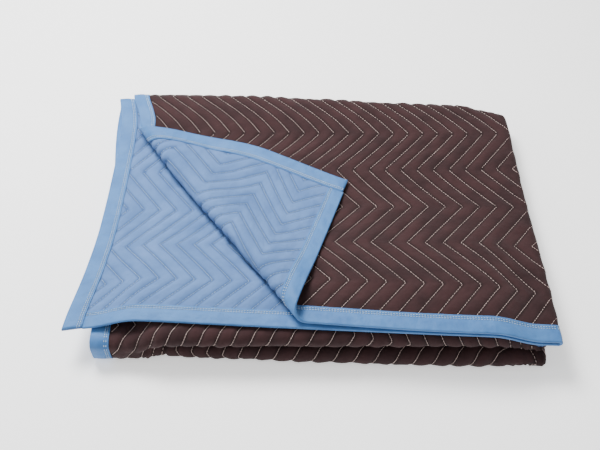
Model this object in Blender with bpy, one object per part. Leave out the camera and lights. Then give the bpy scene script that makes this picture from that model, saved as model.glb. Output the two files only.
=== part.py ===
"""Folded quilted moving blanket with bound edges.

Metres, +Z up, +Y to the back. Every piece is cut flat in the cloth's own coordinates (u across,
v along, n out of the brown face) and then carried into place by one fold function, `lay`.

The cloth is doubled across its width over a fold at the right, blue inside. The doubled cloth then
runs back along the top, folds down at the back, comes forward, turns under at the front in a fat
roll with a crevice along it, and runs back along the bottom. The front left corner of the top layer
is turned back over the pack.
"""
from math import cos, pi, radians, sin, tan

import bmesh
import bpy
import numpy as np
from mathutils import Vector

# --- Cut size of the cloth -------------------------------------------------------------------
CLOTH_WIDTH = 1.829
CLOTH_LENGTH = 2.032
CLOTH_THICK = 0.009
LAYER_GAP = 0.0016

# --- Binding: a tape folded over the edge, on cloth pressed thin under it ---------------------
BINDING_WIDTH = 0.035
BINDING_THICK = 0.0009
BOUND_THICK = 0.0042
SEWN_GAP = 0.0012

# --- Fold across the width -------------------------------------------------------------------
TOP_HALF = 0.897              # width of the half that lies on top
FOLD_X = 0.498                # where the fold starts to turn
LOWER_PANEL_SHIFT = -0.020    # the middle and bottom panels lie this far to the left
LOWER_PANEL_NARROWER = 0.040  # and their left edge is drawn in by this much
NARROWS_FROM = 0.50           # starting this far from the right fold
NARROWS_ALONG = (0.76, 1.20)  # along the length: past the back fold, under the pack

# --- Folds along the length ------------------------------------------------------------------
TOP_DEPTH = 0.680
BACK_SKEW = 0.020             # the back fold comes this much nearer at the right
BACK_CORNER = 0.028           # and this much more at its right corner
BACK_PUFF = 0.016             # how much looser the back fold is at its left end
BACK_PUFF_LEAST = 0.002       # and how loose it is at its right end
BACK_PUFF_FADE = (-0.20, 0.45)
PANEL_GAP = 0.0042
DESCENT = (0.045, 0.42)       # the middle panel comes down from the roll between these depths
TOP_EDGE_DROP = 0.0015        # the top panel droops over the ones below at its right edge
TOP_EDGE_START = 0.455        # where the top panel starts to drop toward its right fold

# --- Front roll ------------------------------------------------------------------------------
ROLL_HEIGHT = 0.069
ROLL_RADIUS = 0.0108
ROLL_SET_BACK = 0.008         # from the square place of the top panel's front edge
CREVICE_RADIUS = 0.0103
CREVICE_LEAN = radians(8)
ROLL_LEFT = (-0.378, -0.290)  # the crevice opens between these places
ROLL_RIGHT = (0.375, 0.470)   # and partly closes between these
CREVICE_CLOSES_RIGHT = 0.70   # how far it closes there, from 0 to 1
ROLL_DROP_LEFT = 0.022
ROLL_DROP_RIGHT = 0.024
# (place across, how far the lower lip stands forward of the upper one)
LOWER_LIP = ((-0.46, -0.012), (-0.40, -0.010), (-0.25, -0.004), (-0.10, 0.002), (0.20, 0.014), (0.40, 0.017))

# --- How the edges of the top panel lie askew ------------------------------------------------
# (distance from the front, how far the side edge lies to the right of its square place)
TOP_SIDE_SHIFT = ((0.0, -0.030), (0.15, -0.043), (0.30, -0.056), (0.45, -0.030), (0.566, 0.012),
                  (0.69, 0.006))
LOWER_SIDE_SHIFT = ((0.0, -0.036), (0.12, -0.016), (0.25, -0.006), (0.69, 0.0))
# (place across, how far the front edge lies back from its square place)
TOP_FRONT_SHIFT = ((-0.37, 0.052), (0.03, 0.018), (0.24, 0.0), (0.46, -0.011))
LOWER_FRONT_SHIFT = ((-0.46, 0.011), (-0.40, 0.026), (-0.30, 0.031), (-0.06, 0.016),
                     (0.24, 0.0), (0.46, -0.011))
FRONT_SHIFT_REACH = 0.30

# --- Turned-back corner: the crease runs between these places, and the cloth rolls past it -----
CREASE_BACK = (-0.3606, 0.5744)
CREASE_FRONT = (-0.0006, 0.0424)
FLAP_RADIUS = 0.015
FLAP_SETTLE = 0.11            # the turned corner comes down onto the pack over this distance

# --- Sizes that follow -----------------------------------------------------------------------
LAYER_PITCH = CLOTH_THICK + LAYER_GAP
FOLD_RADIUS = LAYER_PITCH / 2
HALF_DOUBLE = (LAYER_PITCH + CLOTH_THICK) / 2
PANEL_PITCH = 2 * HALF_DOUBLE + PANEL_GAP
FOLD_START = TOP_HALF - pi * FOLD_RADIUS / 2
FOLD_END = TOP_HALF + pi * FOLD_RADIUS / 2
PANEL_CHANGE = (0.60, 0.72)   # along the length, where the back fold carries the cloth to the lower panels

SECTION_COUNT = 97
SECTION_STEPS = 1401

def ramp(value, start, end):
    """0 before start, 1 after end, smooth between."""
    t = np.clip((np.asarray(value, float) - start) / (end - start), 0.0, 1.0)
    return t * t * (3 - 2 * t)


def read(rows, value):
    keys, values = zip(*rows)
    return np.interp(value, keys, values)


def arc(centre, radius, start, end, steps=20):
    angles = np.linspace(start, end, steps)
    return np.column_stack([centre[0] + radius * np.cos(angles), centre[1] + radius * np.sin(angles)])


# --- Section along the length ------------------------------------------------------------------
def roll_height(x):
    return (ROLL_HEIGHT - ROLL_DROP_LEFT * (1 - ramp(x, *ROLL_LEFT))
            - ROLL_DROP_RIGHT * ramp(x, *ROLL_RIGHT))


def middle_z(x, y):
    fall = 1 - ramp(y, *DESCENT)
    return HALF_DOUBLE + PANEL_PITCH + (roll_height(x) - PANEL_PITCH) * fall


def top_z(x, y):
    loose = BACK_PUFF_LEAST + BACK_PUFF * (1 - ramp(x, *BACK_PUFF_FADE))
    puff = loose * ramp(y, TOP_DEPTH - 0.16, TOP_DEPTH - 0.03)
    edge = TOP_EDGE_DROP * np.clip((x - TOP_EDGE_START) / (FOLD_X - TOP_EDGE_START), 0, 1) ** 2
    return middle_z(x, y) + PANEL_PITCH - 0.6 * PANEL_GAP + puff - edge


def back_line(x):
    return TOP_DEPTH - BACK_SKEW * ramp(x, -0.45, 0.55) - BACK_CORNER * ramp(x, 0.38, 0.50)


def roll_line(x):
    """The front roll: upper lip, crevice, lower lip, from the middle panel down to the bottom one."""
    height = float(roll_height(x))
    crease = float(ramp(x, *ROLL_LEFT) * (1 - CREVICE_CLOSES_RIGHT * ramp(x, *ROLL_RIGHT)))
    lean = pi / 2 - crease * (pi / 2 - CREVICE_LEAN)
    forward = float(read(LOWER_LIP, x)) * crease ** 2
    bends = 2 * ROLL_RADIUS * (1 + cos(lean)) + 2 * CREVICE_RADIUS * cos(lean)
    extra = forward * tan(lean) if crease > 0.02 else 0.0
    inward = max(height - bends - extra, 0.0) / (2 * sin(lean))
    upper = arc((ROLL_SET_BACK, HALF_DOUBLE + height - ROLL_RADIUS), ROLL_RADIUS, pi / 2, 3 * pi / 2 - lean)
    crevice_start = upper[-1] + inward * np.array([cos(lean), -sin(lean)])
    centre = crevice_start + CREVICE_RADIUS * np.array([-sin(lean), -cos(lean)])
    crevice = arc(centre, CREVICE_RADIUS, pi / 2 - lean, lean - pi / 2)
    outward = inward + (forward / cos(lean) if crease > 0.02 else 0.0)
    lower_start = crevice[-1] + outward * np.array([-cos(lean), -sin(lean)])
    centre = lower_start + ROLL_RADIUS * np.array([sin(lean), -cos(lean)])
    lower = arc(centre, ROLL_RADIUS, pi / 2 + lean, 3 * pi / 2)
    line = np.vstack([upper, crevice, lower])
    top = line[0, 1]
    line[:, 1] = top + (line[:, 1] - top) * height / (top - line[-1, 1])
    return line


def section(x):
    """Mid line of the doubled cloth at x: position, and direction out of the top half, per length."""
    run = np.linspace(0, 1, 200)
    back = float(back_line(x))
    top = np.column_stack([back * run, top_z(x, back * run)])
    low = float(middle_z(x, back))
    turn = (top[-1, 1] - low) / 2
    back_fold = arc((back, low + turn), turn, pi / 2, -pi / 2, 24)
    forward = back + (ROLL_SET_BACK - back) * run
    middle = np.column_stack([forward, middle_z(x, forward)])
    roll = roll_line(x)
    bottom = np.column_stack([roll[-1, 0] + CLOTH_LENGTH / 2 * run, np.full(len(run), roll[-1, 1])])
    line = np.vstack([top, back_fold[1:], middle[1:], roll[1:], bottom[1:]])
    length = np.append(0, np.cumsum(np.hypot(*np.diff(line, axis=0).T)))
    places = np.linspace(0, CLOTH_LENGTH, SECTION_STEPS)
    y, z = (np.interp(places, length, line[:, axis]) for axis in (0, 1))
    tangent = np.gradient(np.column_stack([y, z]), axis=0)
    tangent /= np.linalg.norm(tangent, axis=1, keepdims=True)
    ends = (0, len(top) - 1, len(back_fold) - 1, len(middle) - 1, len(roll) - 1)
    marks = length[np.cumsum(ends)]
    return np.column_stack([y, z, -tangent[:, 1], tangent[:, 0]]), marks


SECTION_X = np.linspace(-0.52, 0.52, SECTION_COUNT)
_rows = [section(x) for x in SECTION_X]
SECTIONS = np.array([row[0] for row in _rows])
FOLD_MARKS = np.array([row[1] for row in _rows])


def along(x, v):
    """Blend of the nearest sections: columns y, z, and the outward direction's y and z."""
    column = np.clip((x - SECTION_X[0]) / (SECTION_X[1] - SECTION_X[0]), 0, SECTION_COUNT - 1.001)
    step = np.clip(v / CLOTH_LENGTH, 0, 1) * (SECTION_STEPS - 1)
    step = np.minimum(step, SECTION_STEPS - 1.001)
    i, j = column.astype(int), step.astype(int)
    a, b = (column - i)[:, None], (step - j)[:, None]
    near = SECTIONS[i, j] * (1 - b) + SECTIONS[i, j + 1] * b
    far = SECTIONS[i + 1, j] * (1 - b) + SECTIONS[i + 1, j + 1] * b
    return near * (1 - a) + far * a


def turn_corner(points, n):
    """Roll the front left corner of the top layer over its crease, onto the pack."""
    start = np.array(CREASE_BACK)
    crease = np.array(CREASE_FRONT) - start
    crease /= np.linalg.norm(crease)
    beyond = np.array([crease[1], -crease[0]])
    offset = points[:, :2] - start
    out, down = offset @ beyond, offset @ crease
    bend = np.clip(out / FLAP_RADIUS, 0, pi)
    past = np.maximum(out - pi * FLAP_RADIUS, 0)
    reach = (FLAP_RADIUS - n) * np.sin(bend) - past
    settle = ramp(past, 0, FLAP_SETTLE) * (2 * FLAP_RADIUS - LAYER_PITCH)
    lift = FLAP_RADIUS * (1 - np.cos(bend)) + n * np.cos(bend) - settle
    place = start + reach[:, None] * beyond + down[:, None] * crease
    under = along(place[:, 0], np.clip(place[:, 1], 0, TOP_DEPTH))[:, 1] + FOLD_RADIUS
    return np.where((out > 0)[:, None], np.column_stack([place, under + lift]), points)


def lay_square(u, v, n):
    """Fold across and along, and set the top panel's edges askew."""
    angle = np.clip((u - FOLD_START) / FOLD_RADIUS, 0, pi)
    from_fold = np.where(u < FOLD_START, FOLD_START - u, np.maximum(u - FOLD_END, 0))
    top_side = u < TOP_HALF
    lower = ramp(v, *PANEL_CHANGE)
    x = FOLD_X - from_fold + (FOLD_RADIUS + n) * np.sin(angle) + LOWER_PANEL_SHIFT * lower
    out = (FOLD_RADIUS + n) * np.cos(angle)
    line = along(x, v)
    beyond_end = v - np.clip(v, 0, CLOTH_LENGTH)
    y = line[:, 0] + out * line[:, 2] + beyond_end * line[:, 3]
    z = line[:, 1] + out * line[:, 3] - beyond_end * line[:, 2]
    side = np.where(top_side, read(TOP_SIDE_SHIFT, v), read(LOWER_SIDE_SHIFT, v))
    front = np.where(top_side, read(TOP_FRONT_SHIFT, x), read(LOWER_FRONT_SHIFT, x))
    drawn_in = LOWER_PANEL_NARROWER * ramp(v, *NARROWS_ALONG) * ramp(from_fold, NARROWS_FROM, TOP_HALF)
    x = x + side * (1 - lower) * from_fold / TOP_HALF + drawn_in
    y = y + front * (1 - ramp(v, 0, FRONT_SHIFT_REACH))
    return np.column_stack([x, y, z])


def lay(u, v, n):
    """Carry flat cloth coordinates to where the folded cloth lies."""
    u, v, n = (np.asarray(value, float) for value in (u, v, n))
    points = lay_square(u, v, n)
    on_top = (u < TOP_HALF) & (v < TOP_DEPTH)
    return np.where(on_top[:, None], turn_corner(points, n), points)


# --- Cutting the pieces flat -------------------------------------------------------------------
FLAT_STEP = 0.100
PRESSED_TO_FULL = 0.016       # the cloth swells from pressed to full over this distance


def spread(start, end, step):
    """Evenly spaced cut places from start to end, no further apart than step."""
    count = max(1, int(np.ceil((end - start) / step)))
    return list(np.linspace(start, end, count + 1))


def joined(*runs):
    """Runs of cut places as one rising list, each place once."""
    places = sorted(place for run in runs for place in run)
    return [p for i, p in enumerate(places) if i == 0 or p - places[i - 1] > 1e-6]


def across_cuts():
    edge = [0, BINDING_WIDTH + 0.001, BINDING_WIDTH + PRESSED_TO_FULL]
    fold = spread(FOLD_START, FOLD_END, 0.0034)
    return joined(edge, spread(edge[-1], 0.76, FLAT_STEP), spread(0.76, FOLD_START, 0.033), fold,
                  spread(FOLD_END, 1.02, 0.033), spread(1.02, CLOTH_WIDTH - 0.13, FLAT_STEP),
                  spread(CLOTH_WIDTH - 0.13, CLOTH_WIDTH - edge[-1], 0.040),
                  [CLOTH_WIDTH - place for place in edge])


def along_cuts():
    """Stations: 0-1 top panel, 1-2 back fold, 2-3 middle panel, 3-4 front roll, 4-5 bottom panel."""
    return joined(spread(0.26, 0.70, 0.09), spread(0.70, 1, 0.15), spread(1, 2, 0.25),
                  spread(2, 2.35, 0.175), spread(2.35, 2.88, 0.09), [2.94],
                  spread(3, 4, 0.0715), spread(4, 4.72, 0.37))


def place_across(u):
    from_fold = np.where(u < FOLD_START, FOLD_START - u, np.maximum(u - FOLD_END, 0))
    return FOLD_X - from_fold


def station_to_length(u, station):
    """Distance along the cloth at a station, which follows the slanting folds."""
    x = place_across(np.asarray(u, float))
    marks = [np.interp(x, SECTION_X, FOLD_MARKS[:, k]) for k in range(5)] + [np.full(len(x), CLOTH_LENGTH)]
    marks = np.array(marks)
    whole = np.clip(station.astype(int), 0, 4)
    rows = np.arange(len(x))
    return marks[whole, rows] + (station - whole) * (marks[whole + 1, rows] - marks[whole, rows])


def flat_slab(u_cuts, v_cuts):
    """A flat one-face-thick slab from z = 0 to z = 1, cut along the given lines."""
    bm = bmesh.new()
    corners = [bm.verts.new((u, v, 0)) for v in (v_cuts[0], v_cuts[-1]) for u in (u_cuts[0], u_cuts[-1])]
    bm.faces.new([corners[k] for k in (0, 1, 3, 2)])
    for axis, cuts in enumerate((u_cuts, v_cuts)):
        direction = [float(axis == 0), float(axis == 1), 0.0]
        for cut in cuts[1:-1]:
            bmesh.ops.bisect_plane(bm, geom=bm.verts[:] + bm.edges[:] + bm.faces[:], dist=1e-7,
                                   plane_co=[cut * d for d in direction], plane_no=direction)
    return bm


def thicken(bm):
    """Give a flat sheet its second face, one unit above the first."""
    bmesh.ops.triangulate(bm, faces=bm.faces[:])
    raised = bmesh.ops.extrude_face_region(bm, geom=bm.faces[:])
    for item in raised["geom"]:
        if isinstance(item, bmesh.types.BMVert):
            item.co.z += 1.0
    bmesh.ops.recalc_face_normals(bm, faces=bm.faces[:])


def positions(bm):
    return np.array([vertex.co[:] for vertex in bm.verts])


def place_all(bm, points):
    for vertex, point in zip(bm.verts, points):
        vertex.co = point


# --- Objects -----------------------------------------------------------------------------------
def cloth_material(name, colour, roughness, sheen):
    material = bpy.data.materials.new(name)
    material.use_nodes = True
    shader = material.node_tree.nodes["Principled BSDF"]
    shader.inputs["Base Color"].default_value = (*colour, 1)
    shader.inputs["Roughness"].default_value = roughness
    shader.inputs["Metallic"].default_value = 0.0
    shader.inputs["Sheen Weight"].default_value = sheen
    return material


def finish(bm, name, material, collection, base):
    for vertex in bm.verts:
        vertex.co -= base
    mesh = bpy.data.meshes.new(name)
    bm.to_mesh(mesh)
    bm.free()
    mesh.materials.append(material)
    mesh.shade_smooth()
    mesh.set_sharp_from_angle(angle=radians(40))
    thing = bpy.data.objects.new(name, mesh)
    collection.objects.link(thing)
    return thing


# --- Shared by every piece -----------------------------------------------------------------------
EDGE_ROWS = (0.0, BINDING_WIDTH + 0.001, BINDING_WIDTH + PRESSED_TO_FULL, 0.085, 0.13)


def row_lengths(u):
    """Distance along the cloth of every row of cuts, for each u, as one column per row."""
    u = np.atleast_1d(np.asarray(u, float))
    stations = along_cuts()
    columns = [np.full(len(u), row) for row in EDGE_ROWS]
    columns += [station_to_length(u, np.full(len(u), station)) for station in stations]
    columns += [np.full(len(u), CLOTH_LENGTH - row) for row in EDGE_ROWS[2::-1]]
    return np.column_stack(columns)


def crease_lines():
    """Points and direction of the cuts that let the turned corner roll over smoothly."""
    crease = np.array(CREASE_FRONT) - np.array(CREASE_BACK)
    crease /= np.linalg.norm(crease)
    beyond = np.array([crease[1], -crease[0]])
    roll = spread(0, pi * FLAP_RADIUS, 0.0095)
    settle = [pi * FLAP_RADIUS + FLAP_SETTLE * share for share in (0.4, 0.9)]
    return [(np.array(CREASE_BACK) + out * beyond, beyond) for out in [-0.012] + roll + settle]


def cut_creases(bm, u, v):
    """Cut the flat piece where the turned corner bends. Gives back cloth coordinates per vertex."""
    layers = [bm.verts.layers.float.new(name) for name in ("u", "v", "flat_x", "flat_y")]
    laid = lay_square(u, v, 0 * u)
    flat = positions(bm)
    for vertex, values, point in zip(bm.verts, np.column_stack([u, v, flat[:, :2]]), laid):
        for layer, value in zip(layers, values):
            vertex[layer] = value
        vertex.co = (point[0], point[1], 0)
    for point, direction in crease_lines():
        turned = [face for face in bm.faces
                  if all(p[layers[0]] < TOP_HALF - 0.05 and p[layers[1]] < TOP_DEPTH - 0.02
                         for p in face.verts)]
        edges = dict.fromkeys(edge for face in turned for edge in face.edges)
        verts = dict.fromkeys(vertex for face in turned for vertex in face.verts)
        bmesh.ops.bisect_plane(bm, geom=list(verts) + list(edges) + turned, dist=1e-5,
                               plane_co=(*point, 0), plane_no=(*direction, 0))
    values = np.array([[vertex[layer] for layer in layers] for vertex in bm.verts])
    for vertex, value in zip(bm.verts, values):
        vertex.co = (value[2], value[3], 0)
    return values[:, 0], values[:, 1]


# --- Quilted panel -------------------------------------------------------------------------------
def half_thickness(u, v):
    """Half the cloth's thickness, which is pressed thin under the bindings."""
    to_edge = np.minimum(np.minimum(u, CLOTH_WIDTH - u), np.minimum(v, CLOTH_LENGTH - v))
    full = ramp(to_edge, BINDING_WIDTH, BINDING_WIDTH + PRESSED_TO_FULL)
    return (BOUND_THICK + (CLOTH_THICK - BOUND_THICK) * full) / 2


def quilted_panel():
    across = across_cuts()
    rows = row_lengths(across[:1]).shape[1]
    bm = flat_slab(across, list(range(rows)))
    flat = positions(bm)
    lengths = row_lengths(flat[:, 0])[np.arange(len(flat)), np.rint(flat[:, 1]).astype(int)]
    u, v = cut_creases(bm, flat[:, 0], lengths)
    for vertex, place in zip(bm.verts, zip(u, v)):
        vertex.co = (*place, 0)
    thicken(bm)
    flat = positions(bm)
    n = (2 * flat[:, 2] - 1) * half_thickness(flat[:, 0], flat[:, 1])
    place_all(bm, lay(flat[:, 0], flat[:, 1], n))
    return bm


# --- Bindings ------------------------------------------------------------------------------------
TAPE_MIDDLE = BOUND_THICK / 2 + SEWN_GAP + BINDING_THICK / 2
TAPE_REACH = TAPE_MIDDLE + BINDING_WIDTH


def wrap(tape, side):
    """Place across the tape and side of it, to distance in from the cloth's edge and height."""
    outer = side * BINDING_THICK / 2
    at_edge = -(SEWN_GAP + BINDING_THICK / 2) - outer
    inward = np.clip((np.abs(tape) - TAPE_MIDDLE) / BINDING_WIDTH, 0, 1)
    return at_edge + (BINDING_WIDTH - at_edge) * inward, np.sign(tape) * (TAPE_MIDDLE + outer)


def binding(run, to_cloth):
    """A tape folded over an edge: `run` are its cut places, `to_cloth` gives its cloth coordinates."""
    bm = flat_slab([-TAPE_REACH, -TAPE_MIDDLE, TAPE_MIDDLE, TAPE_REACH], run)
    flat = positions(bm)
    distance, _ = wrap(flat[:, 0], 0 * flat[:, 0])
    cut_creases(bm, *to_cloth(distance, flat[:, 1]))
    thicken(bm)
    flat = positions(bm)
    distance, n = wrap(flat[:, 0], 2 * flat[:, 2] - 1)
    u, v = to_cloth(distance, flat[:, 1])
    place_all(bm, lay(u, v, n))
    if bm.calc_volume(signed=True) < 0:
        bmesh.ops.reverse_faces(bm, faces=bm.faces[:])
    return bm


def side_binding(side):
    """A binding along a side edge, whose cuts follow the rows of the panel. `side` is 0 or 1."""
    rows = row_lengths(0.0).shape[1]

    def to_cloth(distance, row):
        u = side * CLOTH_WIDTH + (1 - 2 * side) * distance
        lengths = row_lengths(u)
        below = np.clip(row.astype(int), 0, rows - 2)
        index = np.arange(len(row))
        start, end = lengths[index, below], lengths[index, below + 1]
        return u, start + (row - below) * (end - start)

    return binding(list(range(rows)), to_cloth)


def crossing_run():
    """Cut places of a binding that crosses the cloth between the two side bindings."""
    first = BINDING_WIDTH + SEWN_GAP
    inner = [place for place in across_cuts() if first + 0.005 < place < CLOTH_WIDTH - first - 0.005]
    return [first] + inner + [CLOTH_WIDTH - first]


# --- The whole blanket ---------------------------------------------------------------------------
def build():
    for thing in list(bpy.data.objects):
        bpy.data.objects.remove(thing)
    collection = bpy.data.collections.new("moving_blanket")
    bpy.context.scene.collection.children.link(collection)
    cloth = cloth_material("brown_quilted_cloth", (0.105, 0.052, 0.050), 0.85, 0.2)
    tape = cloth_material("blue_binding_cloth", (0.215, 0.385, 0.590), 0.55, 0.1)
    pieces = [
        ("quilted_panel", quilted_panel(), cloth),
        ("binding_front", binding(crossing_run(), lambda d, run: (run, d)), tape),
        ("binding_far", binding(crossing_run(), lambda d, run: (run, CLOTH_LENGTH - d)), tape),
        ("binding_side_top", side_binding(0), tape),
        ("binding_side_lower", side_binding(1), tape),
    ]
    everything = np.vstack([positions(bm) for name, bm, material in pieces])
    low, high = everything.min(axis=0), everything.max(axis=0)
    base = Vector(((low[0] + high[0]) / 2, (low[1] + high[1]) / 2, low[2]))
    for name, bm, material in pieces:
        finish(bm, name, material, collection, base)


build()
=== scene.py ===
"""Folded quilted moving blanket: quilted cloth, edge bindings and sewing."""
from math import cos, pi, radians, sin, tan

import bmesh
import bpy
import numpy as np
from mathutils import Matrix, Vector


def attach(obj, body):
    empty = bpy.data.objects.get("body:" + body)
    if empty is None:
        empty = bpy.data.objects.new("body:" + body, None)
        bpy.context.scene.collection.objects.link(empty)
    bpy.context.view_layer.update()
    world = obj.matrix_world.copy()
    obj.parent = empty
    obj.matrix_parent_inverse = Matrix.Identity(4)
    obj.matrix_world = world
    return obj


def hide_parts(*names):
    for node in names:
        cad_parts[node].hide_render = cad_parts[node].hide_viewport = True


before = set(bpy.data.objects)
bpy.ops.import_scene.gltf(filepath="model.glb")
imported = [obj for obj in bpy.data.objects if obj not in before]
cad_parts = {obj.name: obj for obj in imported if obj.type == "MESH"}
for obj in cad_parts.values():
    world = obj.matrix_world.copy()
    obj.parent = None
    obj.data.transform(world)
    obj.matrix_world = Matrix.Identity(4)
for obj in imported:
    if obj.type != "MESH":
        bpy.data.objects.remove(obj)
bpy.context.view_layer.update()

# --- Cloth, in metres --------------------------------------------------------------------------
CLOTH_WIDTH = 1.829
CLOTH_LENGTH = 2.032
CLOTH_THICK = 0.009
LAYER_GAP = 0.0016
BINDING_WIDTH = 0.035
BOUND_THICK = 0.0042                          # of the cloth pressed thin under a binding
SEWN_GAP = 0.0012                             # between the binding and the cloth it covers
PRESSED_TO_FULL = 0.016                       # the cloth swells from pressed to full over this distance

# --- Folds ---------------------------------------------------------------------------------------
TOP_HALF = 0.897                              # width of the half that lies on top
FOLD_X = 0.498                                # where the fold starts to turn
LOWER_PANEL_SHIFT = -0.020                    # the middle and bottom panels lie this far to the left
LOWER_PANEL_NARROWER = 0.040                  # and their left edge is drawn in by this much
NARROWS_FROM = 0.50                           # starting this far from the right fold
NARROWS_ALONG = (0.76, 1.20)                  # along the length: past the back fold, under the pack
TOP_DEPTH = 0.680
BACK_SKEW = 0.020                             # the back fold comes this much nearer at the right
BACK_CORNER = 0.028                           # and this much more at its right corner
BACK_PUFF = 0.016                             # how much looser the back fold is at its left end
BACK_PUFF_LEAST = 0.002                       # and how loose it is at its right end
BACK_PUFF_FADE = (-0.20, 0.45)
PANEL_GAP = 0.0042
DESCENT = (0.045, 0.42)                       # the middle panel comes down from the roll between these depths
TOP_EDGE_DROP = 0.0015                        # the top panel droops over the ones below at its right edge
TOP_EDGE_START = 0.455                        # where it starts to droop
ROLL_HEIGHT = 0.069
ROLL_RADIUS = 0.0108
ROLL_SET_BACK = 0.008                         # from the square place of the top panel's front edge
CREVICE_RADIUS = 0.0122
CREVICE_LEAN = radians(8)
CREASE_LEAST = 0.02                           # below this the roll has no crevice
ROLL_LEFT = (-0.378, -0.290)                  # the crevice opens between these places
ROLL_RIGHT = (0.375, 0.470)                   # and the roll comes down between these
ROLL_DROP_LEFT = 0.022
ROLL_DROP_RIGHT = 0.024
# (place across, how far the lower lip of the roll stands forward of the upper one)
LOWER_LIP = ((-0.46, -0.012), (-0.40, -0.010), (-0.25, -0.004),
             (-0.10, 0.002), (0.20, 0.014), (0.40, 0.017))
# (distance from the front, how far the side edge lies to the right of its square place)
TOP_SIDE_SHIFT = ((0.0, -0.030), (0.15, -0.043), (0.30, -0.056), (0.45, -0.030), (0.566, 0.012),
                  (0.69, 0.006))
LOWER_SIDE_SHIFT = ((0.0, -0.036), (0.12, -0.016), (0.25, -0.006), (0.69, 0.0))
# (place across, how far the front edge lies back from its square place)
TOP_FRONT_SHIFT = ((-0.37, 0.052), (0.03, 0.018), (0.24, 0.0), (0.46, -0.011))
LOWER_FRONT_SHIFT = ((-0.46, 0.011), (-0.40, 0.026), (-0.30, 0.031), (-0.06, 0.016),
                     (0.24, 0.0), (0.46, -0.011))
FRONT_SHIFT_REACH = 0.30
# The turned-back corner's crease runs between these places
CREASE_BACK = (-0.3606, 0.5744)
CREASE_FRONT = (-0.0006, 0.0424)
FLAP_RADIUS = 0.015
FLAP_SETTLE = 0.11                            # the turned corner comes down onto the pack over this distance
PANEL_CHANGE = (0.60, 0.72)                   # along the length, where the back fold turns the cloth under
# Places on either side that a table is averaged over
ROUND_OFF = (-0.045, -0.03, -0.015, 0.0, 0.015, 0.03, 0.045)
SECTION_COUNT = 97                            # of sections across the pack
SECTION_STEPS = 1401                          # of places along each
FOLDED_CENTRE = (0.021195, 0.340546, 0.0)     # of the folded pack, in the fold's own coordinates

LAYER_PITCH = CLOTH_THICK + LAYER_GAP
FOLD_RADIUS = LAYER_PITCH / 2
HALF_DOUBLE = (LAYER_PITCH + CLOTH_THICK) / 2
PANEL_PITCH = 2 * HALF_DOUBLE + PANEL_GAP
FOLD_START = TOP_HALF - pi * FOLD_RADIUS / 2
FOLD_END = TOP_HALF + pi * FOLD_RADIUS / 2

STRAIGHT_STEPS = 200
BACK_FOLD_STEPS = 24
ROLL_ARC_STEPS = 20
SECTION_REACH = 0.52                          # how far to either side the sections are worked out

# --- Quilting ------------------------------------------------------------------------------------
LINE_SPACING = CLOTH_WIDTH / 51
HALF_PERIOD = 0.1165                          # along the cloth, from one chevron point to the next
CHEVRON_REACH = 0.0455                        # half of the chevron's width
FIRST_POINT = 0.108                           # from the front edge to the first row of points
LINE_PHASE = 0.4972                           # across the cloth, where one quilting line runs
TURN_ROUND = (0.95, 1.35)                     # across the cloth, where the chevrons change hand
TURN_ENDS = (0.75, 1.15)                      # along the cloth, where that change fades out
PUFF = 0.0030                                 # height of the padding over the seams
SEAM_HALF = 0.0018                            # half the cloth's thickness at a seam
HARD_FOLD = (0.010, 0.024)                    # out from the middle of the fold across the width
HARD_FOLD_PUFF = 0.55                         # of the full puff, in that fold
PADDING_VARIES = 0.9                          # how unevenly the padding fills
# (wave length, its direction on the cloth, where it starts)
PADDING_WAVES = ((0.043, 0.4, 0.3), (0.061, 1.9, 1.7), (0.029, 2.6, 4.1),
                 (0.094, 1.1, 2.2), (0.037, 0.9, 5.0))
COLUMNS = 5                                   # of the cloth's mesh between two quilting lines
FOLD_COLUMNS = 14
PUFF_ROUNDNESS = 0.6                          # under 1, the puffs are fuller than half a sine


def ramp(value, start, end):
    """0 before start, 1 after end, smooth between."""
    t = np.clip((np.asarray(value, float) - start) / (end - start), 0.0, 1.0)
    return t * t * (3 - 2 * t)


def read(rows, value):
    """Between the table's rows, with its bends rounded off."""
    keys, values = zip(*rows)
    return np.mean([np.interp(value + shift, keys, values) for shift in ROUND_OFF], axis=0)


def arc(centre, radius, start, end, steps=ROLL_ARC_STEPS):
    angles = np.linspace(start, end, steps)
    return np.column_stack([centre[0] + radius * np.cos(angles), centre[1] + radius * np.sin(angles)])


# --- How the cloth is folded ---------------------------------------------------------------------
def roll_height(x):
    return (ROLL_HEIGHT - ROLL_DROP_LEFT * (1 - ramp(x, *ROLL_LEFT))
            - ROLL_DROP_RIGHT * ramp(x, *ROLL_RIGHT))


def middle_z(x, y):
    fall = 1 - ramp(y, *DESCENT)
    return HALF_DOUBLE + PANEL_PITCH + (roll_height(x) - PANEL_PITCH) * fall


def top_z(x, y):
    loose = BACK_PUFF_LEAST + BACK_PUFF * (1 - ramp(x, *BACK_PUFF_FADE))
    puff = loose * ramp(y, TOP_DEPTH - 0.16, TOP_DEPTH - 0.03)
    edge = TOP_EDGE_DROP * np.clip((x - TOP_EDGE_START) / (FOLD_X - TOP_EDGE_START), 0, 1) ** 2
    return middle_z(x, y) + PANEL_PITCH - 0.6 * PANEL_GAP + puff - edge


def back_line(x):
    return TOP_DEPTH - BACK_SKEW * ramp(x, -0.45, 0.55) - BACK_CORNER * ramp(x, 0.38, 0.50)


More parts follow.
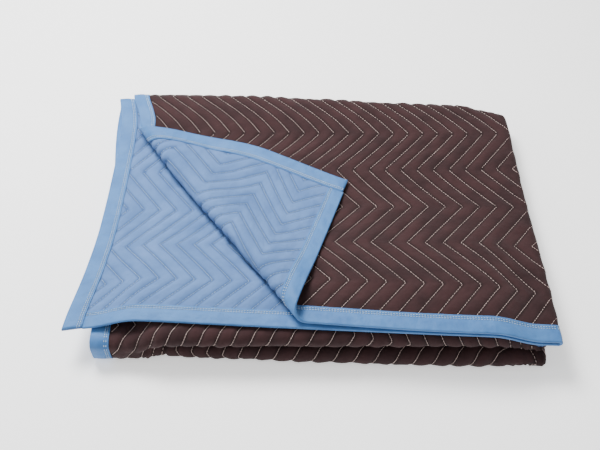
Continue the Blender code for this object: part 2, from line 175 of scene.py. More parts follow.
def roll_line(x):
    """The front roll: upper lip, crevice and lower lip, down to the bottom panel."""
    height = float(roll_height(x))
    crease = float(ramp(x, *ROLL_LEFT))
    lean = pi / 2 - crease * (pi / 2 - CREVICE_LEAN)
    forward = float(read(LOWER_LIP, x)) * crease ** 2
    bends = 2 * ROLL_RADIUS * (1 + cos(lean)) + 2 * CREVICE_RADIUS * cos(lean)
    extra = forward * tan(lean) if crease > CREASE_LEAST else 0.0
    inward = max(height - bends - extra, 0.0) / (2 * sin(lean))
    upper = arc((ROLL_SET_BACK, HALF_DOUBLE + height - ROLL_RADIUS), ROLL_RADIUS, pi / 2, 3 * pi / 2 - lean)
    crevice_start = upper[-1] + inward * np.array([cos(lean), -sin(lean)])
    centre = crevice_start + CREVICE_RADIUS * np.array([-sin(lean), -cos(lean)])
    crevice = arc(centre, CREVICE_RADIUS, pi / 2 - lean, lean - pi / 2)
    outward = inward + (forward / cos(lean) if crease > CREASE_LEAST else 0.0)
    lower_start = crevice[-1] + outward * np.array([-cos(lean), -sin(lean)])
    centre = lower_start + ROLL_RADIUS * np.array([sin(lean), -cos(lean)])
    lower = arc(centre, ROLL_RADIUS, pi / 2 + lean, 3 * pi / 2)
    line = np.vstack([upper, crevice, lower])
    top = line[0, 1]
    line[:, 1] = top + (line[:, 1] - top) * height / (top - line[-1, 1])
    return line


def section(x):
    """Mid line of the doubled cloth at x: position, and direction out of the top half."""
    run = np.linspace(0, 1, STRAIGHT_STEPS)
    back = float(back_line(x))
    top = np.column_stack([back * run, top_z(x, back * run)])
    low = float(middle_z(x, back))
    turn = (top[-1, 1] - low) / 2
    back_fold = arc((back, low + turn), turn, pi / 2, -pi / 2, BACK_FOLD_STEPS)
    forward = back + (ROLL_SET_BACK - back) * run
    middle = np.column_stack([forward, middle_z(x, forward)])
    roll = roll_line(x)
    bottom = np.column_stack([roll[-1, 0] + CLOTH_LENGTH / 2 * run, np.full(len(run), roll[-1, 1])])
    line = np.vstack([top, back_fold[1:], middle[1:], roll[1:], bottom[1:]])
    length = np.append(0, np.cumsum(np.hypot(*np.diff(line, axis=0).T)))
    places = np.linspace(0, CLOTH_LENGTH, SECTION_STEPS)
    y, z = (np.interp(places, length, line[:, axis]) for axis in (0, 1))
    tangent = np.gradient(np.column_stack([y, z]), axis=0)
    tangent /= np.linalg.norm(tangent, axis=1, keepdims=True)
    return np.column_stack([y, z, -tangent[:, 1], tangent[:, 0]])


SECTION_X = np.linspace(-SECTION_REACH, SECTION_REACH, SECTION_COUNT)
SECTIONS = np.array([section(x) for x in SECTION_X])


def along(x, v):
    """Blend of the nearest sections: columns y, z, and the outward direction's y and z."""
    column = np.clip((x - SECTION_X[0]) / (SECTION_X[1] - SECTION_X[0]), 0, SECTION_COUNT - 1.001)
    step = np.clip(v / CLOTH_LENGTH, 0, 1) * (SECTION_STEPS - 1)
    step = np.minimum(step, SECTION_STEPS - 1.001)
    i, j = column.astype(int), step.astype(int)
    a, b = (column - i)[:, None], (step - j)[:, None]
    near = SECTIONS[i, j] * (1 - b) + SECTIONS[i, j + 1] * b
    far = SECTIONS[i + 1, j] * (1 - b) + SECTIONS[i + 1, j + 1] * b
    return near * (1 - a) + far * a


CREASE_START = np.array(CREASE_BACK)
CREASE_RUN = np.array(CREASE_FRONT) - CREASE_START
CREASE_RUN = CREASE_RUN / np.linalg.norm(CREASE_RUN)
CREASE_OUT = np.array([CREASE_RUN[1], -CREASE_RUN[0]])
CREASE_BLEND = 0.035                          # past the crease, where two heights are eased together


def turn_corner(points, n):
    """Roll the front left corner of the top layer over its crease, onto the pack."""
    offset = points[:, :2] - CREASE_START
    out, down = offset @ CREASE_OUT, offset @ CREASE_RUN
    bend = np.clip(out / FLAP_RADIUS, 0, pi)
    past = np.maximum(out - pi * FLAP_RADIUS, 0)
    reach = (FLAP_RADIUS - n) * np.sin(bend) - past
    settle = ramp(past, 0, FLAP_SETTLE) * (2 * FLAP_RADIUS - LAYER_PITCH)
    lift = FLAP_RADIUS * (1 - np.cos(bend)) + n * np.cos(bend) - settle
    place = CREASE_START + reach[:, None] * CREASE_OUT + down[:, None] * CREASE_RUN
    under = along(place[:, 0], np.clip(place[:, 1], 0, TOP_DEPTH))[:, 1] + FOLD_RADIUS
    flat = points[:, 2] - (along(points[:, 0], np.clip(points[:, 1], 0, TOP_DEPTH))[:, 1] + FOLD_RADIUS + n)
    ease = flat * (1 - ramp(out, 0, CREASE_BLEND))
    return np.where((out > 0)[:, None], np.column_stack([place, under + lift + ease]), points)


def lay(u, v, n):
    """Carry flat cloth coordinates to where the folded cloth lies. n is out of the brown face."""
    u, v, n = np.broadcast_arrays(*(np.asarray(value, float) for value in (u, v, n)))
    angle = np.clip((u - FOLD_START) / FOLD_RADIUS, 0, pi)
    from_fold = np.where(u < FOLD_START, FOLD_START - u, np.maximum(u - FOLD_END, 0))
    top_side = u < TOP_HALF
    lower = ramp(v, *PANEL_CHANGE)
    x = FOLD_X - from_fold + (FOLD_RADIUS + n) * np.sin(angle) + LOWER_PANEL_SHIFT * lower
    out = (FOLD_RADIUS + n) * np.cos(angle)
    line = along(x, v)
    beyond_end = v - np.clip(v, 0, CLOTH_LENGTH)
    y = line[:, 0] + out * line[:, 2] + beyond_end * line[:, 3]
    z = line[:, 1] + out * line[:, 3] - beyond_end * line[:, 2]
    side = np.where(top_side, read(TOP_SIDE_SHIFT, v), read(LOWER_SIDE_SHIFT, v))
    front = np.where(top_side, read(TOP_FRONT_SHIFT, x), read(LOWER_FRONT_SHIFT, x))
    drawn_in = LOWER_PANEL_NARROWER * ramp(v, *NARROWS_ALONG) * ramp(from_fold, NARROWS_FROM, TOP_HALF)
    x = x + side * (1 - lower) * from_fold / TOP_HALF + drawn_in
    y = y + front * (1 - ramp(v, 0, FRONT_SHIFT_REACH))
    points = np.column_stack([x, y, z])
    on_top = (u < TOP_HALF) & (v < TOP_DEPTH)
    points = np.where(on_top[:, None], turn_corner(points, n), points) - FOLDED_CENTRE
    points[:, 2] = np.maximum(points[:, 2], 0.0)
    return points


# --- Quilt pattern -------------------------------------------------------------------------------
def chevron(u, v):
    """How far across the cloth a quilting line stands from its straight place at v."""
    t = np.mod((np.asarray(v, float) - FIRST_POINT) / (2 * HALF_PERIOD), 1.0)
    wave = CHEVRON_REACH * (4 * np.abs(t - 0.5) - 1)
    other = 2 * ramp(u, *TURN_ROUND) * (1 - ramp(v, *TURN_ENDS))
    return wave * (1 - other)


def puffiness(u, v):
    """0 on a quilting line, 1 midway between two, and even where the cloth is folded hard."""
    t = np.mod((u - chevron(u, v) - LINE_PHASE) / LINE_SPACING, 1.0)
    padded = np.clip(np.sin(pi * t), 0, 1) ** PUFF_ROUNDNESS
    folded = 1 - ramp(np.abs(u - TOP_HALF), *HARD_FOLD)
    return padded + (HARD_FOLD_PUFF - padded) * folded


def unevenness(u, v):
    """About 1: how the padding varies from place to place."""
    waves = [np.sin(2 * pi * (u * cos(angle) + v * sin(angle)) / length + start)
             for length, angle, start in PADDING_WAVES]
    return 1 + PADDING_VARIES * sum(waves) / len(waves)


def half_cloth(u, v):
    """Half the cloth's thickness: puffed between the lines, pressed thin under the bindings."""
    to_edge = np.minimum(np.minimum(u, CLOTH_WIDTH - u), np.minimum(v, CLOTH_LENGTH - v))
    full = ramp(to_edge, BINDING_WIDTH, BINDING_WIDTH + PRESSED_TO_FULL)
    quilted = SEAM_HALF + PUFF * puffiness(u, v) * unevenness(u, v)
    return BOUND_THICK / 2 + (quilted - BOUND_THICK / 2) * full


# --- Mesh helpers --------------------------------------------------------------------------------
def spread(start, end, step):
    return np.linspace(start, end, max(2, int(np.ceil((end - start) / step)) + 1))


def mesh_object(name, points, faces, uv, face_slots=None, materials=(), puff=None):
    mesh = bpy.data.meshes.new(name)
    mesh.from_pydata(points.tolist(), [], faces)
    for material in materials:
        mesh.materials.append(material)
    if face_slots is not None:
        mesh.polygons.foreach_set("material_index", np.asarray(face_slots, np.int32))
    corner = np.empty(len(mesh.loops), np.int32)
    mesh.loops.foreach_get("vertex_index", corner)
    layer = mesh.uv_layers.new(name="cloth")
    layer.data.foreach_set("uv", np.asarray(uv, float)[corner].ravel())
    if puff is not None:
        mesh.attributes.new("puff", "FLOAT", "POINT").data.foreach_set("value", puff)
    mesh.shade_smooth()
    mesh.update()
    piece = bpy.data.objects.new(name, mesh)
    bpy.context.scene.collection.objects.link(piece)
    return piece


EDGE_BAND = BINDING_WIDTH + PRESSED_TO_FULL + 0.0002
# (from, to, greatest step) along the cloth: fine steps where a face of the pack shows
ROW_STEPS = ((0, EDGE_BAND, 0.0085), (EDGE_BAND, 0.76, 0.0097), (0.76, 1.32, 0.04), (1.32, 1.60, 0.0056),
             (1.60, CLOTH_LENGTH - EDGE_BAND, 0.04), (CLOTH_LENGTH - EDGE_BAND, CLOTH_LENGTH, 0.0128))
COLUMN_MARGIN = 0.06                          # columns start this far outside the cloth, then are clipped
RULED_MARGIN = 0.002


def cloth_rows():
    return np.unique(np.round(np.concatenate([spread(*row) for row in ROW_STEPS]), 7))


def cloth_grid():
    """Columns follow the quilting lines, but run straight along the tight fold."""
    rows = cloth_rows()
    cells = np.arange(-20 * COLUMNS, 55 * COLUMNS) / COLUMNS
    base = LINE_PHASE + cells * LINE_SPACING
    base = base[(base > -COLUMN_MARGIN) & (base < CLOTH_WIDTH + COLUMN_MARGIN)]
    ruled = np.linspace(FOLD_START - RULED_MARGIN, FOLD_END + RULED_MARGIN, FOLD_COLUMNS)
    left = base[base < ruled[0] + CHEVRON_REACH]
    right = base[base > ruled[-1] - CHEVRON_REACH]
    u = np.array([np.concatenate([np.clip(left + chevron(left, v), 0, ruled[0]), ruled,
                                  np.clip(right + chevron(right, v), ruled[-1], CLOTH_WIDTH)])
                  for v in rows])
    return u, np.repeat(rows[:, None], u.shape[1], axis=1)


def cloth_faces(u):
    """Both faces and the four edges, as rings of points and their material slots."""
    count, size = u.shape, u.size
    same = np.arange(size).reshape(count)
    for j in range(1, count[1]):
        joined = np.abs(u[:, j] - u[:, j - 1]) < 1e-7
        same[joined, j] = same[joined, j - 1]
    same = same.tolist()
    faces, slots = [], []
    for i in range(count[0] - 1):
        for j in range(count[1] - 1):
            ring = [same[i][j], same[i][j + 1], same[i + 1][j + 1], same[i + 1][j]]
            ring = [k for n, k in enumerate(ring) if k != ring[n - 1]]
            if len(set(ring)) < 3:
                continue
            faces += [ring, [k + size for k in reversed(ring)]]
            slots += [0, 1]
    last = count[0] - 1
    for i in (0, last):
        for a, b in zip(same[i], same[i][1:]):
            if a != b:
                faces.append([b, a, a + size, b + size] if i == 0 else [a, b, b + size, a + size])
    for i in range(last):
        a, b = same[i][0], same[i + 1][0]
        faces.append([a, b, b + size, a + size])
        a, b = same[i][-1], same[i + 1][-1]
        faces.append([b, a, a + size, b + size])
    slots += [1] * (len(faces) - len(slots))
    return faces, slots


def quilted_cloth(materials):
    u, v = cloth_grid()
    faces, slots = cloth_faces(u)
    u, v = u.ravel(), v.ravel()
    half = half_cloth(u, v)
    points = np.vstack([lay(u, v, half), lay(u, v, -half)])
    uv = np.tile(np.column_stack([u, v]), (2, 1))
    used = np.zeros(len(points), bool)
    for ring in faces:
        used[ring] = True
    number = np.cumsum(used) - 1
    faces = [[int(number[k]) for k in ring] for ring in faces]
    puff = np.tile(puffiness(u, v), 2)[used]
    return mesh_object("quilted_cloth", points[used], faces, uv[used], slots, materials, puff)


# --- Bindings ------------------------------------------------------------------------------------
# Places in from the cloth's edge: where the tape has points, where its seams lie, and where it is loose
TAPE_FLAT = (0.035, 0.0332, 0.0312, 0.0292, 0.0272, 0.0250, 0.020, 0.014, 0.008, 0.003)
TAPE_LINING = (0.035, 0.020, 0.004)
TAPE_SEAMS = (0.0302, 0.0262)
SEAM_SPREAD = 0.0014
LOOSE_FROM = (0.002, 0.012)
LOOSE_TO = (0.020, 0.028)
LOOSE_LIP = (0.0312, 0.0345)

TAPE_OUTSIDE = 0.0012                         # off the pressed cloth, to the tape's outer face
TAPE_INSIDE = 0.0003                          # off the pressed cloth, to its inner face
TAPE_PAST_EDGE = 0.0010                       # from the cloth's cut edge to the tape's inner face
TAPE_TURN_DEPTH = 0.5                         # of the tape's turn at the edge, to its half height
TAPE_TURN_STEPS = 9
TAPE_CORNER = 0.6                             # of the inner half height, where its corner is cut off
RIPPLE_LENGTHS = (0.019, 0.031, 0.052, 0.014, 0.083, 0.15)
RIPPLE_HEIGHT = 0.0008
RIPPLE_GAIN = 2.0
LIP_LOOSENESS = 0.5
SEAM_SUNK = 0.0005


def tape_profile():
    """Closed outline of a tape folded over an edge: distance in from the edge, and height."""
    outer, inner = BOUND_THICK / 2 + TAPE_OUTSIDE, BOUND_THICK / 2 + TAPE_INSIDE
    out = [(d, outer) for d in TAPE_FLAT]
    out += [(-TAPE_OUTSIDE - outer * TAPE_TURN_DEPTH * cos(t), outer * sin(t))
            for t in np.linspace(pi / 2, -pi / 2, TAPE_TURN_STEPS)]
    out += [(d, -outer) for d in TAPE_FLAT[::-1]]
    back = [(d, -inner) for d in TAPE_LINING]
    back += [(-TAPE_PAST_EDGE, side * inner * TAPE_CORNER) for side in (-1, 1)]
    back += [(d, inner) for d in TAPE_LINING[::-1]]
    return np.array(out + back), len(out)


def tape_lift(d, run, seed):
    """How far the tape's outer face stands up: rippled where loose, drawn down at its seams."""
    waves = np.random.default_rng(seed).uniform(0, 2 * pi, len(RIPPLE_LENGTHS))
    ripples = sum(np.sin(2 * pi * run / size + w) for size, w in zip(RIPPLE_LENGTHS, waves))
    pucker = ripples / len(RIPPLE_LENGTHS) * RIPPLE_GAIN
    sewn = sum(np.exp(-((d - seam) / SEAM_SPREAD) ** 2) for seam in TAPE_SEAMS)
    loose = ramp(d, *LOOSE_FROM) * (1 - ramp(d, *LOOSE_TO)) + LIP_LOOSENESS * ramp(d, *LOOSE_LIP)
    return RIPPLE_HEIGHT * (1 + pucker[:, None]) * loose - SEAM_SUNK * sewn


def binding(name, run, to_cloth, material, seed):
    profile, outer_count = tape_profile()
    k = len(profile)
    d = np.repeat(profile[None, :, 0], len(run), axis=0)
    n = np.repeat(profile[None, :, 1], len(run), axis=0)
    is_outer = np.arange(k)[None, :] < outer_count
    n = n + np.sign(n) * tape_lift(d, run, seed) * is_outer
    u, v = to_cloth(d.ravel(), np.repeat(run, k))
    points = lay(u, v, n.ravel())
    faces = [[i * k + j, i * k + (j + 1) % k, (i + 1) * k + (j + 1) % k, (i + 1) * k + j]
             for i in range(len(run) - 1) for j in range(k)]
    faces += [list(range(k))[::-1], [(len(run) - 1) * k + j for j in range(k)]]
    piece = mesh_object(name, points, faces, np.column_stack([u, v]), None, [material])
    shell = bmesh.new()
    shell.from_mesh(piece.data)
    bmesh.ops.recalc_face_normals(shell, faces=shell.faces[:])
    shell.to_mesh(piece.data)
    shell.free()
    return piece


# --- Materials -----------------------------------------------------------------------------------
WRINKLE_SCALE = 48
WRINKLE_DEPTH = 0.004
SHEEN_ROUGHNESS = 0.45
SPECULAR = 0.25


def fabric(name, colour, darker, roughness, sheen, weave, weave_depth, blotch, seam=None):
    """Woven cloth: blotched colour, darker along the seams with painted groove shade over the pressed cloth,
    with bumps for weave, fibre and creases.
    """
    material = bpy.data.materials.new(name)
    material.use_nodes = True
    tree = material.node_tree
    link = tree.links.new

    def add(kind, **inputs):
        node = tree.nodes.new("ShaderNode" + kind)
        for label, value in inputs.items():
            node.inputs[label.replace("_", " ")].default_value = value
        return node

    def blend(factor, low, high):
        """Colour mix; high may be a colour or another node's socket."""
        mix = tree.nodes.new("ShaderNodeMix")
        mix.data_type = "RGBA"
        mix.inputs["A"].default_value = (*low, 1)
        if isinstance(high, tuple):
            mix.inputs["B"].default_value = (*high, 1)
        else:
            link(high, mix.inputs["B"])
        link(factor, mix.inputs["Factor"])
        return mix.outputs["Result"]

    def on_cloth(kind, **inputs):
        texture = add(kind, **inputs)
        link(place.outputs["UV"], texture.inputs["Vector"])
        return texture

    shader = tree.nodes["Principled BSDF"]
    for label, value in (("Roughness", roughness), ("Sheen Weight", sheen),
                         ("Sheen Roughness", SHEEN_ROUGHNESS), ("Specular IOR Level", SPECULAR)):
        shader.inputs[label].default_value = value
    place = add("UVMap")
    place.uv_map = "cloth"
    blotches = add("MapRange", From_Min=0.36, From_Max=0.60)
    link(on_cloth("TexNoise", Scale=blotch, Detail=6.0).outputs["Fac"], blotches.inputs["Value"])
    paint = blend(blotches.outputs["Result"], darker, colour)
    # seam colour: painted shade in the quilting grooves, partly the pressed cloth's own darker tone; it fades
    # to the cloth's colour as the padding rises.
    if seam is not None:
        puff = add("Attribute")
        puff.attribute_name = "puff"
        out_of_groove_shade = add("MapRange", From_Max=0.8)
        link(puff.outputs["Fac"], out_of_groove_shade.inputs["Value"])
        paint = blend(out_of_groove_shade.outputs["Result"], seam, paint)
    link(paint, shader.inputs["Base Color"])
    crossing, height = add("Math"), add("Math")
    crossing.operation, height.operation = "MULTIPLY", "ADD"
    for slot, direction in enumerate(("X", "Y")):
        wave = on_cloth("TexWave", Scale=weave, Distortion=1.2, Detail=1.0)
        wave.bands_direction = direction
        link(wave.outputs["Fac"], crossing.inputs[slot])
    fibre = on_cloth("TexNoise", Scale=420.0, Detail=3.0)
    link(crossing.outputs[0], height.inputs[0])
    link(fibre.outputs["Fac"], height.inputs[1])
    creases = add("Bump", Strength=0.7, Distance=WRINKLE_DEPTH)
    link(on_cloth("TexNoise", Scale=WRINKLE_SCALE, Detail=2.0).outputs["Fac"], creases.inputs["Height"])
    bump = add("Bump", Strength=0.6, Distance=weave_depth)
    link(height.outputs[0], bump.inputs["Height"])
    link(creases.outputs["Normal"], bump.inputs["Normal"])
    link(bump.outputs["Normal"], shader.inputs["Normal"])
    return material


THREAD = {"roughness": 0.8, "sheen": 0.1, "weave": 900, "weave_depth": 0.0001, "blotch": 60}
PADDED = {"sheen": 0.06, "weave": 260, "weave_depth": 0.0003}

# The seam colours are painted shade in the quilting grooves, partly the pressed cloth's own darker tone.
brown_cover = fabric("brown_cover", (0.038, 0.0150, 0.0160), (0.026, 0.0108, 0.0118),
                     roughness=0.9, blotch=18, seam=(0.013, 0.006, 0.006), **PADDED)
blue_lining = fabric("blue_lining", (0.108, 0.206, 0.430), (0.083, 0.168, 0.368),
                     roughness=0.85, blotch=15, seam=(0.045, 0.100, 0.240), **PADDED)
blue_binding = fabric("blue_binding", (0.065, 0.195, 0.450), (0.050, 0.160, 0.390),
                      roughness=0.5, sheen=0.10, weave=420, weave_depth=0.0002, blotch=22)
pale_thread = fabric("pale_thread", (0.80, 0.62, 0.57), (0.70, 0.52, 0.48), **THREAD)
tape_thread = fabric("tape_thread", (0.66, 0.80, 0.94), (0.56, 0.72, 0.88),
                     **{**THREAD, "roughness": 0.7})
blue_thread = fabric("blue_thread", (0.50, 0.67, 0.88), (0.42, 0.60, 0.82),
                     **{**THREAD, "roughness": 0.75})


# --- Stitches ------------------------------------------------------------------------------------
LENGTH_VARIES = (0.85, 1.08)                  # of a stitch, by this factor


def stitch_tree():
    """Puts a small rounded stitch on every point, along its run and flat on the cloth."""
    tree = bpy.data.node_groups.new("sewn_stitches", "GeometryNodeTree")
    face = tree.interface
    face.new_socket("Points", in_out="INPUT", socket_type="NodeSocketGeometry")
    for label, value in (("Stitch Length", 0.0048), ("Thread Width", 0.0010)):
        socket = face.new_socket(label, in_out="INPUT", socket_type="NodeSocketFloat")
        socket.default_value = value
    face.new_socket("Seed", in_out="INPUT", socket_type="NodeSocketInt")
    face.new_socket("Thread", in_out="INPUT", socket_type="NodeSocketMaterial")
    face.new_socket("Stitches", in_out="OUTPUT", socket_type="NodeSocketGeometry")
    node, link = tree.nodes.new, tree.links.new
    given, result = node("NodeGroupInput"), node("NodeGroupOutput")
    bead = node("GeometryNodeMeshIcoSphere")
    bead.inputs["Radius"].default_value = 0.5
    bead.inputs["Subdivisions"].default_value = 1
    run, up = node("GeometryNodeInputNamedAttribute"), node("GeometryNodeInputNamedAttribute")
    for attribute, label in ((run, "run"), (up, "up")):
        attribute.data_type = "FLOAT_VECTOR"
        attribute.inputs["Name"].default_value = label
    lengthwise = node("FunctionNodeAlignRotationToVector")
    lengthwise.axis = "X"
    link(run.outputs["Attribute"], lengthwise.inputs["Vector"])
    upright = node("FunctionNodeAlignRotationToVector")
    upright.axis, upright.pivot_axis = "Z", "X"
    link(lengthwise.outputs["Rotation"], upright.inputs["Rotation"])
    link(up.outputs["Attribute"], upright.inputs["Vector"])
    vary = node("FunctionNodeRandomValue")
    vary.data_type = "FLOAT"
    vary.inputs[2].default_value, vary.inputs[3].default_value = LENGTH_VARIES
    link(given.outputs["Seed"], vary.inputs["Seed"])
    long = node("ShaderNodeMath")
    long.operation = "MULTIPLY"
    link(given.outputs["Stitch Length"], long.inputs[0])
    link(vary.outputs[1], long.inputs[1])
    size = node("ShaderNodeCombineXYZ")
    link(long.outputs[0], size.inputs[0])
    link(given.outputs["Thread Width"], size.inputs[1])
    link(given.outputs["Thread Width"], size.inputs[2])
    placed = node("GeometryNodeInstanceOnPoints")
    link(given.outputs["Points"], placed.inputs["Points"])
    link(bead.outputs["Mesh"], placed.inputs["Instance"])
    link(upright.outputs["Rotation"], placed.inputs["Rotation"])
    link(size.outputs[0], placed.inputs["Scale"])
    real, paint = node("GeometryNodeRealizeInstances"), node("GeometryNodeSetMaterial")
    link(placed.outputs["Instances"], real.inputs["Geometry"])
    link(real.outputs["Geometry"], paint.inputs["Geometry"])
    link(given.outputs["Thread"], paint.inputs["Material"])
    link(paint.outputs["Geometry"], result.inputs[0])
    return tree


STITCHES = stitch_tree()
LOOK_AHEAD = 0.0012                           # along a seam, to find how it runs
PROBE = 0.001                                 # a short way off, to find a direction


def sew(name, places, thread, length, width, seed):
    """Stitches at `places`: rows of u, v, n and of the direction along the seam in u and v."""
    u, v, n, du, dv = places.T
    at = lay(u, v, n)
    at[:, 2] = np.maximum(at[:, 2], width / 2)
    du, dv = du * LOOK_AHEAD, dv * LOOK_AHEAD
    ahead = lay(u + du, v + dv, n) - lay(u - du, v - dv, n)
    above = (lay(u, v, n + PROBE) - at) * np.sign(n)[:, None]
    seams = bpy.data.meshes.new(name + "_points")
    seams.from_pydata(at.tolist(), [], [])
    for label, value in (("run", ahead), ("up", above)):
        value = value / np.maximum(np.linalg.norm(value, axis=1, keepdims=True), 1e-9)
        layer = seams.attributes.new(label, "FLOAT_VECTOR", "POINT")
        layer.data.foreach_set("vector", value.ravel())
    holder = bpy.data.objects.new(name + "_points", seams)
    bpy.context.scene.collection.objects.link(holder)
    modifier = holder.modifiers.new("stitches", "NODES")
    modifier.node_group = STITCHES
    sockets = {item.name: item.identifier for item in STITCHES.interface.items_tree
               if item.item_type == "SOCKET" and item.in_out == "INPUT"}
    modifier[sockets["Stitch Length"]] = length
    modifier[sockets["Thread Width"]] = width
    modifier[sockets["Seed"]] = seed
    modifier[sockets["Thread"]] = thread
    evaluated = holder.evaluated_get(bpy.context.evaluated_depsgraph_get())
    mesh = bpy.data.meshes.new_from_object(evaluated)
    mesh.name = name
    holder.modifiers.clear()
    bpy.data.objects.remove(holder)
    if "cloth" not in mesh.uv_layers:
        mesh.uv_layers.new(name="cloth")
    mesh.shade_smooth()
    piece = bpy.data.objects.new(name, mesh)
    bpy.context.scene.collection.objects.link(piece)
    return piece


ROLL_RUN = (1.36, 1.60)                       # along the cloth, where it goes round the front roll
ROLL_STRETCH = 1.7                            # of its outer face there
SEAM_SLANT = 1.27                             # length of a slanted seam to its length along the cloth
SEAM_CLEAR = 0.003                            # from a binding to the first quilting stitch
STITCH_PROUD = 0.0001


def quilting_places(side, pitch, shown):
    """Where the chevron quilting shows on one face: side is 1 for brown, -1 for blue."""
    step = pitch / SEAM_SLANT
    first = BINDING_WIDTH + SEAM_CLEAR
    v = np.concatenate([np.arange(first, ROLL_RUN[0], step),
                        np.arange(*ROLL_RUN, step / ROLL_STRETCH),
                        np.arange(ROLL_RUN[1], CLOTH_LENGTH - BINDING_WIDTH, step)])
    found = []
    for k in np.arange(-16, 54):
        base = LINE_PHASE + k * LINE_SPACING
        u = base + chevron(base, v)
        slope = np.gradient(u, v)
        norm = np.hypot(slope, 1)
        keep = (u > first) & (u < CLOTH_WIDTH - first) & shown(u, v)
        depth = side * (half_cloth(u, v) + STITCH_PROUD)
        rows = np.column_stack([u, v, depth, slope / norm, 1 / norm])
        found.append(rows[keep])
    return np.vstack(found)


ROUND_CREASE = 0.01                           # the turned corner shows this far past its crease


def on_flap(u, v):
    square = np.column_stack([FOLD_X - (FOLD_START - u), v])
    return ((square - CREASE_START) @ CREASE_OUT > -ROUND_CREASE) & (u < TOP_HALF)


SIDE_FOLD_SHOWS = 0.045                       # to either side of the fold across the width
# Along the cloth
TOP_SHOWS = 0.76
FLAP_ENDS = 0.60
ROLL_SHOWS = (1.30, 1.75)                     # and the near part of the bottom panel


def brown_shows(u, v):
    top = (u < TOP_HALF) & (v < TOP_SHOWS) & ~(on_flap(u, v) & (v < FLAP_ENDS))
    roll = (u > TOP_HALF) & (v > ROLL_SHOWS[0]) & (v < ROLL_SHOWS[1])
    side_fold = np.abs(u - TOP_HALF) < SIDE_FOLD_SHOWS
    return top | roll | side_fold


UNDER_CREASE = 0.03                           # the lower lining shows this far under the crease
LOWER_LINING_FROM = 1.2                       # across the cloth
LOWER_LINING_ENDS = 0.66                      # along the cloth
FLAP_LINING_ENDS = 0.62


def blue_shows(u, v):
    lower_x = FOLD_X - (u - FOLD_END)
    open_side = (np.column_stack([lower_x, v]) - CREASE_START) @ CREASE_OUT > -UNDER_CREASE
    lower_half = (u > LOWER_LINING_FROM) & (v < LOWER_LINING_ENDS)
    return (on_flap(u, v) & (v < FLAP_LINING_ENDS)) | (lower_half & open_side)


TAPE_STITCH_HEIGHT = 0.0016                   # off the pressed cloth


def tape_places(run_start, run_end, to_cloth, pitch=0.0052):
    run = np.arange(run_start, run_end, pitch)
    rows = []
    for seam in TAPE_SEAMS:
        for side in (1, -1):
            here = to_cloth(np.full(len(run), seam), run)
            ahead = to_cloth(np.full(len(run), seam), run + PROBE)
            du, dv = (ahead[0] - here[0]) / PROBE, (ahead[1] - here[1]) / PROBE
            height = np.full(len(run), side * (BOUND_THICK / 2 + TAPE_STITCH_HEIGHT))
            rows.append(np.column_stack([here[0], here[1], height, du, dv]))
    return np.vstack(rows)


# --- The pieces ----------------------------------------------------------------------------------
STITCH_PITCH = 0.0066
SEAM_STARTS = 0.002                           # along a binding, from its start
SEAM_ENDS = 2.0                               # and no further than this
blanket = quilted_cloth([brown_cover, blue_lining])
FIRST = BINDING_WIDTH + SEWN_GAP              # the front and far bindings stop short of the side ones
SHOWN_STEP = 0.0062
HIDDEN_STEP = 0.02
FOLD_STEP = 0.0012
FOLD_CLEAR = 0.003


def side_run():
    """Places along a side edge, close together where it shows."""
    return np.concatenate([spread(0, 0.80, SHOWN_STEP), spread(0.80, 1.30, HIDDEN_STEP)[1:],
                           spread(1.30, 1.62, SHOWN_STEP)[1:], spread(1.62, CLOTH_LENGTH, HIDDEN_STEP)[1:]])


def cross_run():
    """Places along the front or far edge, closest together round the fold across the width."""
    fold = (FOLD_START - FOLD_CLEAR, FOLD_END + FOLD_CLEAR)
    return np.concatenate([spread(FIRST, fold[0], SHOWN_STEP), spread(*fold, FOLD_STEP)[1:],
                           spread(fold[1], CLOTH_WIDTH - FIRST, SHOWN_STEP)[1:]])


EDGES = {
    "binding_front": (cross_run(), lambda d, run: (run, d), 11),
    "binding_far": (cross_run(), lambda d, run: (run, CLOTH_LENGTH - d), 12),
    "binding_side_top": (side_run(), lambda d, run: (d, run), 13),
    "binding_side_lower": (side_run(), lambda d, run: (CLOTH_WIDTH - d, run), 14),
}
for node_name, (run, to_cloth, seed) in EDGES.items():
    piece = binding("bound_" + node_name[8:] + "_edge", run, to_cloth, blue_binding, seed)
    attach(piece, "root")
    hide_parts(node_name)

seams = [tape_places(run.min() + SEAM_STARTS, min(run.max(), SEAM_ENDS), to_cloth)
         for run, to_cloth, seed in EDGES.values()]
# (name, where, thread, slot, stitch length, thread width, seed)
SEWING = (
    ("chevron_stitches_brown", quilting_places(1, STITCH_PITCH, brown_shows), pale_thread, "pale_thread",
     0.0069, 0.0013, 1),
    ("chevron_stitches_blue", quilting_places(-1, STITCH_PITCH, blue_shows), blue_thread, "blue_thread",
     0.0066, 0.0012, 2),
    ("binding_stitches", np.vstack(seams), tape_thread, "blue_thread", 0.0044, 0.0017, 3),
)
for name, places, thread, slot, length, width, seed in SEWING:
    piece = sew(name, places, thread, length, width, seed)
    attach(piece, "root")

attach(blanket, "root")
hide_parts("quilted_panel")

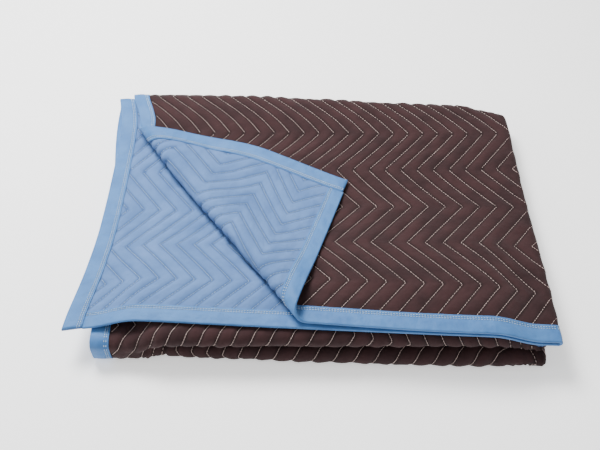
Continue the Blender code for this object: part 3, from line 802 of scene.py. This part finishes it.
# --- Floor, light and camera ---------------------------------------------------------------------
FLOOR_HALF = 6.0
FLOOR_Z = -0.0005
floor_mesh = bpy.data.meshes.new("floor")
corners = ((-1, -1), (1, -1), (1, 1), (-1, 1))
floor_mesh.from_pydata([(FLOOR_HALF * x, FLOOR_HALF * y, FLOOR_Z) for x, y in corners], [], [(0, 1, 2, 3)])
floor = bpy.data.objects.new("floor", floor_mesh)
bpy.context.scene.collection.objects.link(floor)
paint = bpy.data.materials.new("pale_floor")
paint.use_nodes = True
pale = paint.node_tree.nodes["Principled BSDF"].inputs
pale["Base Color"].default_value = (0.96, 0.96, 0.96, 1)
pale["Roughness"].default_value = 0.9
pale["Emission Color"].default_value = (1, 1, 1, 1)
pale["Emission Strength"].default_value = 0.7
floor_mesh.materials.append(paint)

world = bpy.data.worlds.new("studio")
bpy.context.scene.world = world
world.use_nodes = True
sky = world.node_tree.nodes["Background"].inputs
sky["Color"].default_value = (1, 1, 1, 1)
sky["Strength"].default_value = 0.60


def softbox(name, place, target, width, power):
    lamp = bpy.data.lights.new(name, "AREA")
    lamp.shape = "SQUARE"
    lamp.size = width
    lamp.energy = power
    light = bpy.data.objects.new(name, lamp)
    bpy.context.scene.collection.objects.link(light)
    light.location = place
    light.rotation_euler = (Vector(target) - Vector(place)).to_track_quat("-Z", "Y").to_euler()


softbox("overhead", place=(-0.9, 1.1, 2.3), target=(0, 0, 0), width=1.1, power=150)
softbox("side_fill", place=(-2.2, -0.4, 1.3), target=(0, 0, 0), width=1.2, power=14)

CAMERA_PLACE = (0.0013, -0.7899, 1.397)       # in the fold's own coordinates
CAMERA_TILT = 39.0                            # degrees up from straight down
view = bpy.data.cameras.new("camera")
view.sensor_width = 36.0
view.lens = 47.4
camera = bpy.data.objects.new("camera", view)
bpy.context.scene.collection.objects.link(camera)
camera.location = [place - centre for place, centre in zip(CAMERA_PLACE, FOLDED_CENTRE)]
camera.rotation_euler = (radians(CAMERA_TILT), 0, 0)
bpy.context.scene.camera = camera
